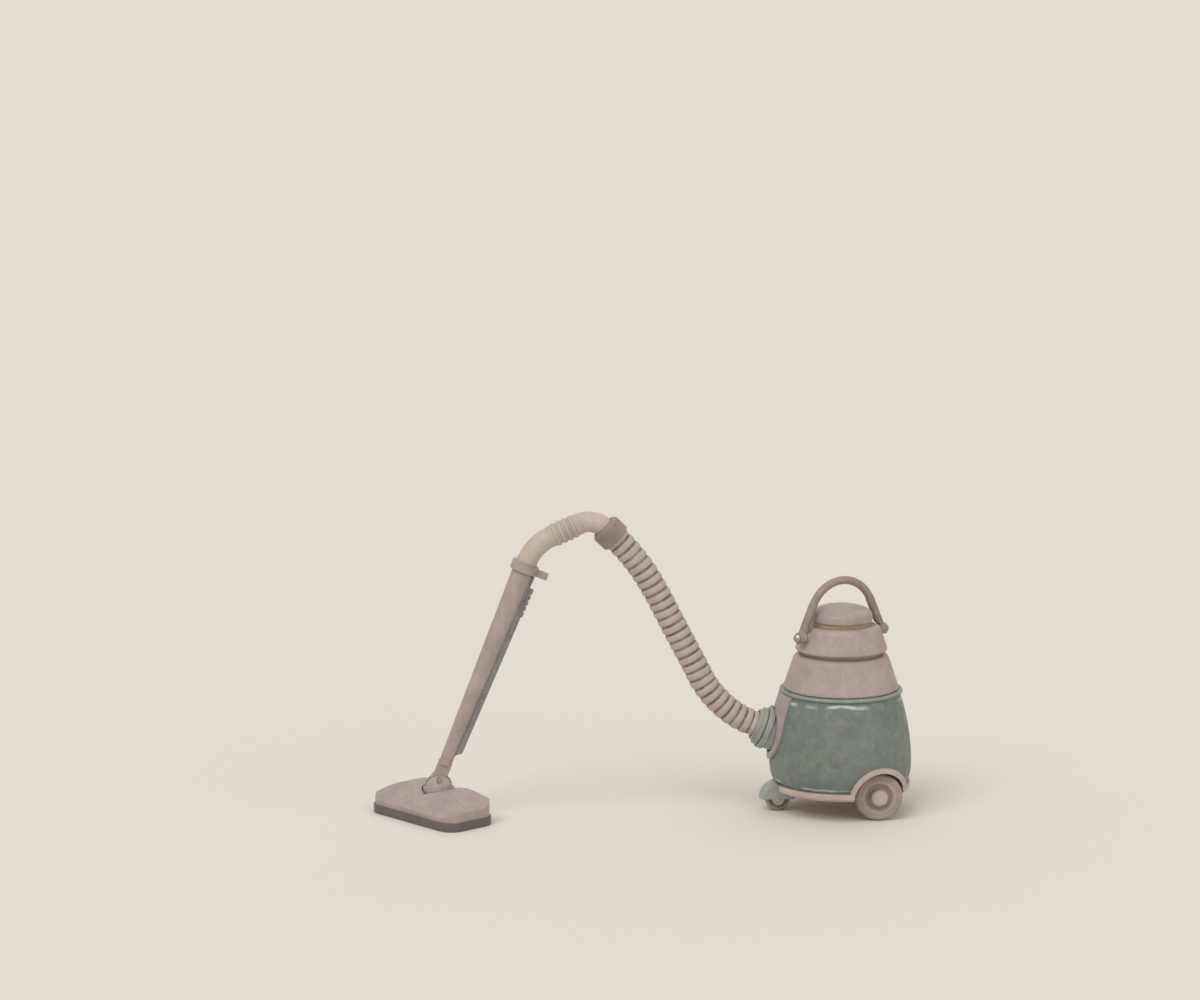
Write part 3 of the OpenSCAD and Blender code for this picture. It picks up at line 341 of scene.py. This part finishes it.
def rubber(name, base, shade, worn, groove_shade_tone=None):
    """Matt rubber with fine speckle, scuffed edges, and painted shade in the grooves where the mesh carries
    them.
    """
    material, tree = new_material(name)
    patches = band(tree, noise(tree, 3.5, 4), 0.36, 0.66)
    colour = mixed(tree, times(tree, patches, 0.6), srgb(*base), srgb(*shade))
    speckle = noise(tree, 0.4, 2, shift=0.6)
    colour = mixed(tree, times(tree, band(tree, speckle, 0.52, 0.74), 0.25), colour, srgb(*worn))
    if groove_shade_tone:
        # Painted shade: darker in the hose's grooves, broken up by noise
        groove = add(tree, "ShaderNodeAttribute", {"attribute_name": "groove"}).outputs["Fac"]
        breaks = band(tree, noise(tree, 2.6, 3, shift=0.1), 0.3, 0.6, 0.35, 1)
        groove_shade = times(tree, band(tree, groove, 0.22, 0.5), breaks)
        colour = mixed(tree, times(tree, groove_shade, 0.85), colour, srgb(*groove_shade_tone))
    normal = rounded(tree, 0.35)
    ragged = times(tree, edge_mask(tree, normal), band(tree, noise(tree, 1.2, 3, shift=0.2), 0.4, 0.62))
    colour = mixed(tree, times(tree, ragged, 0.35), colour, srgb(*worn))
    roughness = band(tree, speckle, 0.3, 0.7, *RUBBER_ROUGH)
    relief = add(tree, "ShaderNodeBump", Strength=0.25, Distance=0.08 * MM, Height=speckle, Normal=normal)
    shader = add(tree, "ShaderNodeBsdfPrincipled", Base_Color=colour, Roughness=roughness,
                 Normal=relief.outputs[0], Sheen_Weight=0.06)
    finish_material(tree, shader)
    return material


def steel(name, base, shade):
    """Plain turned steel with fine scratches and dull spots."""
    material, tree = new_material(name)
    spots = band(tree, noise(tree, 1.2, 4), 0.4, 0.66)
    colour = mixed(tree, times(tree, spots, 0.6), srgb(*base), srgb(*shade))
    scratches = noise(tree, 0.35, 2, (0.2, 1, 1), 0.4)
    uneven = plus(tree, scratches, times(tree, spots, 0.3))
    roughness = band(tree, uneven, 0.3, 1, *STEEL_ROUGH)
    normal = rounded(tree, 0.2)
    relief = add(tree, "ShaderNodeBump", Strength=0.15, Distance=0.03 * MM, Height=scratches, Normal=normal)
    shader = add(tree, "ShaderNodeBsdfPrincipled", Base_Color=colour, Roughness=roughness,
                 Normal=relief.outputs[0], Metallic=1)
    finish_material(tree, shader)
    return material


FINISHES = {
    "teal_paint": painted("teal_paint", (113, 126, 119), (98, 111, 105), (150, 159, 149), wear=0.45,
                          streak=0.16, fleck=WARM_FLECK, flecked=0.5, thin=0.3,
                          lines=(RIM_HIGHLIGHT, FOOT_LINE)),
    "lilac_paint": painted("lilac_paint", (174, 156, 151), (156, 139, 136), (200, 185, 179)),
    "pale_trim": painted("pale_trim", (194, 176, 166), (175, 158, 149), (216, 203, 193)),
    "rim_trim": painted("rim_trim", (137, 148, 141), (121, 132, 125), (200, 206, 200)),
    "blue_trim": painted("blue_trim", (156, 161, 154), (138, 144, 137), (191, 194, 187)),
    "olive_seal": rubber("olive_seal", (178, 158, 116), (152, 134, 97), (198, 180, 140)),
    "handle_paint": painted("handle_paint", (154, 136, 123), (136, 119, 108), (184, 168, 155), wear=0.6),
    "wheel_plastic": painted("wheel_plastic", (174, 155, 143), (156, 138, 128), (200, 183, 172)),
    "tyre_rubber": rubber("tyre_rubber", (164, 147, 136), (146, 130, 120), (190, 174, 163)),
    "hose_rubber": rubber("hose_rubber", (190, 172, 160), (171, 154, 145), (209, 194, 182),
                          groove_shade_tone=(96, 79, 84)),
    "cuff_brown": painted("cuff_brown", (150, 133, 121), (133, 117, 106), (179, 163, 151)),
    "grip_cream": painted("grip_cream", (197, 180, 167), (179, 163, 151), (215, 201, 189)),
    "strip_blue": painted("strip_blue", (126, 127, 129), (110, 111, 114), (164, 162, 160)),
    "slide_grey": painted("slide_grey", (126, 116, 116), (108, 99, 100), (160, 150, 146)),
    "sole_slate": rubber("sole_slate", (106, 97, 96), (92, 84, 84), (138, 128, 125)),
    "steel": steel("steel", (178, 172, 165), (142, 136, 129)),
}
for part in frame["record"]["subparts"]:
    materials = frame["nodes"][part["node"]].data.materials
    materials.clear()
    materials.append(FINISHES[part["material_slot"]])
ribbed_hose.data.materials.append(FINISHES["hose_rubber"])


# Floor, light and camera

FLOOR_HALF = 6.0
FLOOR_DROP = 0.1 * MM
FLOOR_TONE = (228, 221, 212)
# Tone of the backdrop, which is that of the lit floor
BACKDROP_TONE = (226, 219, 210)
SKY_COLOUR = (1, 0.99, 0.975, 1)
SKY_STRENGTH = 0.53
# Name, azimuth, elevation and softness in degrees, strength
SUNS = [
    ("key", -40, 50, 40, 1.24),
    ("fill", 45, 30, 60, 0.5),
    ("back", 170, 45, 60, 0.36),
]
VIEW_AZIMUTH = -8
VIEW_ELEVATION = 14
LENS = 120
SENSOR = 36
PHOTO_W = 1200
PHOTO_H = 1000
# Size of a photo pixel at the canister, and the pixel of the canister's axis at the floor
PIXEL = 0.2745 * MM
AXIS_PIXEL_X = 843.5
AXIS_PIXEL_Y = 804.8


def toward(azimuth, elevation):
    """Direction to a lamp or camera, with azimuth 0 in front of the part, at -Y."""
    a = math.radians(azimuth)
    e = math.radians(elevation)
    return Vector((math.sin(a) * math.cos(e), -math.cos(a) * math.cos(e), math.sin(e)))


def aim(holder, direction):
    holder.rotation_euler = direction.to_track_quat("-Z", "Y").to_euler()


def build_floor():
    h = FLOOR_HALF
    mesh = bpy.data.meshes.new("floor")
    mesh.from_pydata([(-h, -h, 0), (h, -h, 0), (h, h, 0), (-h, h, 0)], [], [(0, 1, 2, 3)])
    floor = bpy.data.objects.new("floor", mesh)
    floor.location.z = -FLOOR_DROP
    link(floor)
    material, tree = new_material("floor_paper")
    shader = add(tree, "ShaderNodeBsdfPrincipled", Base_Color=srgb(*FLOOR_TONE), Roughness=0.95,
                 Specular_IOR_Level=0.1)
    finish_material(tree, shader)
    mesh.materials.append(material)


def build_light():
    world = bpy.data.worlds.new("studio")
    bpy.context.scene.world = world
    world.use_nodes = True
    tree = world.node_tree
    tree.nodes.clear()
    out = add(tree, "ShaderNodeOutputWorld")
    sky = add(tree, "ShaderNodeBackground", Color=SKY_COLOUR, Strength=SKY_STRENGTH)
    backdrop = add(tree, "ShaderNodeBackground", Color=srgb(*BACKDROP_TONE), Strength=1)
    rays = add(tree, "ShaderNodeLightPath").outputs
    seen = rays["Is Camera Ray"]
    for kind in ("Is Glossy Ray", "Is Transmission Ray"):
        seen = calc(tree, "MAXIMUM", seen, rays[kind])
    both = add(tree, "ShaderNodeMixShader", Fac=seen)
    tree.links.new(sky.outputs[0], both.inputs[1])
    tree.links.new(backdrop.outputs[0], both.inputs[2])
    tree.links.new(both.outputs[0], out.inputs[0])
    for name, azimuth, elevation, softness, strength in SUNS:
        lamp = bpy.data.lights.new(name, "SUN")
        lamp.angle = math.radians(softness)
        lamp.energy = strength
        holder = bpy.data.objects.new(name, lamp)
        aim(holder, -toward(azimuth, elevation))
        link(holder)


def build_camera():
    """Camera that puts the canister's axis at its pixel of the photo, at the photo's scale."""
    back = toward(VIEW_AZIMUTH, VIEW_ELEVATION)
    right = Vector((0, 0, 1)).cross(back).normalized()
    up = back.cross(right)
    anchor = Vector((canister_x, 0, 0))
    off_right = (AXIS_PIXEL_X - PHOTO_W / 2) * PIXEL
    off_down = (AXIS_PIXEL_Y - PHOTO_H / 2) * PIXEL
    data = bpy.data.cameras.new("camera")
    data.lens = LENS
    data.sensor_width = SENSOR
    data.clip_start = 0.01
    data.clip_end = 50
    camera = bpy.data.objects.new("camera", data)
    camera.location = anchor + back * PIXEL * PHOTO_W * LENS / SENSOR
    aim(camera, anchor - right * off_right + up * off_down - camera.location)
    link(camera)
    bpy.context.scene.camera = camera


build_floor()
build_light()
build_camera()
bpy.context.scene.view_settings.view_transform = "Standard"
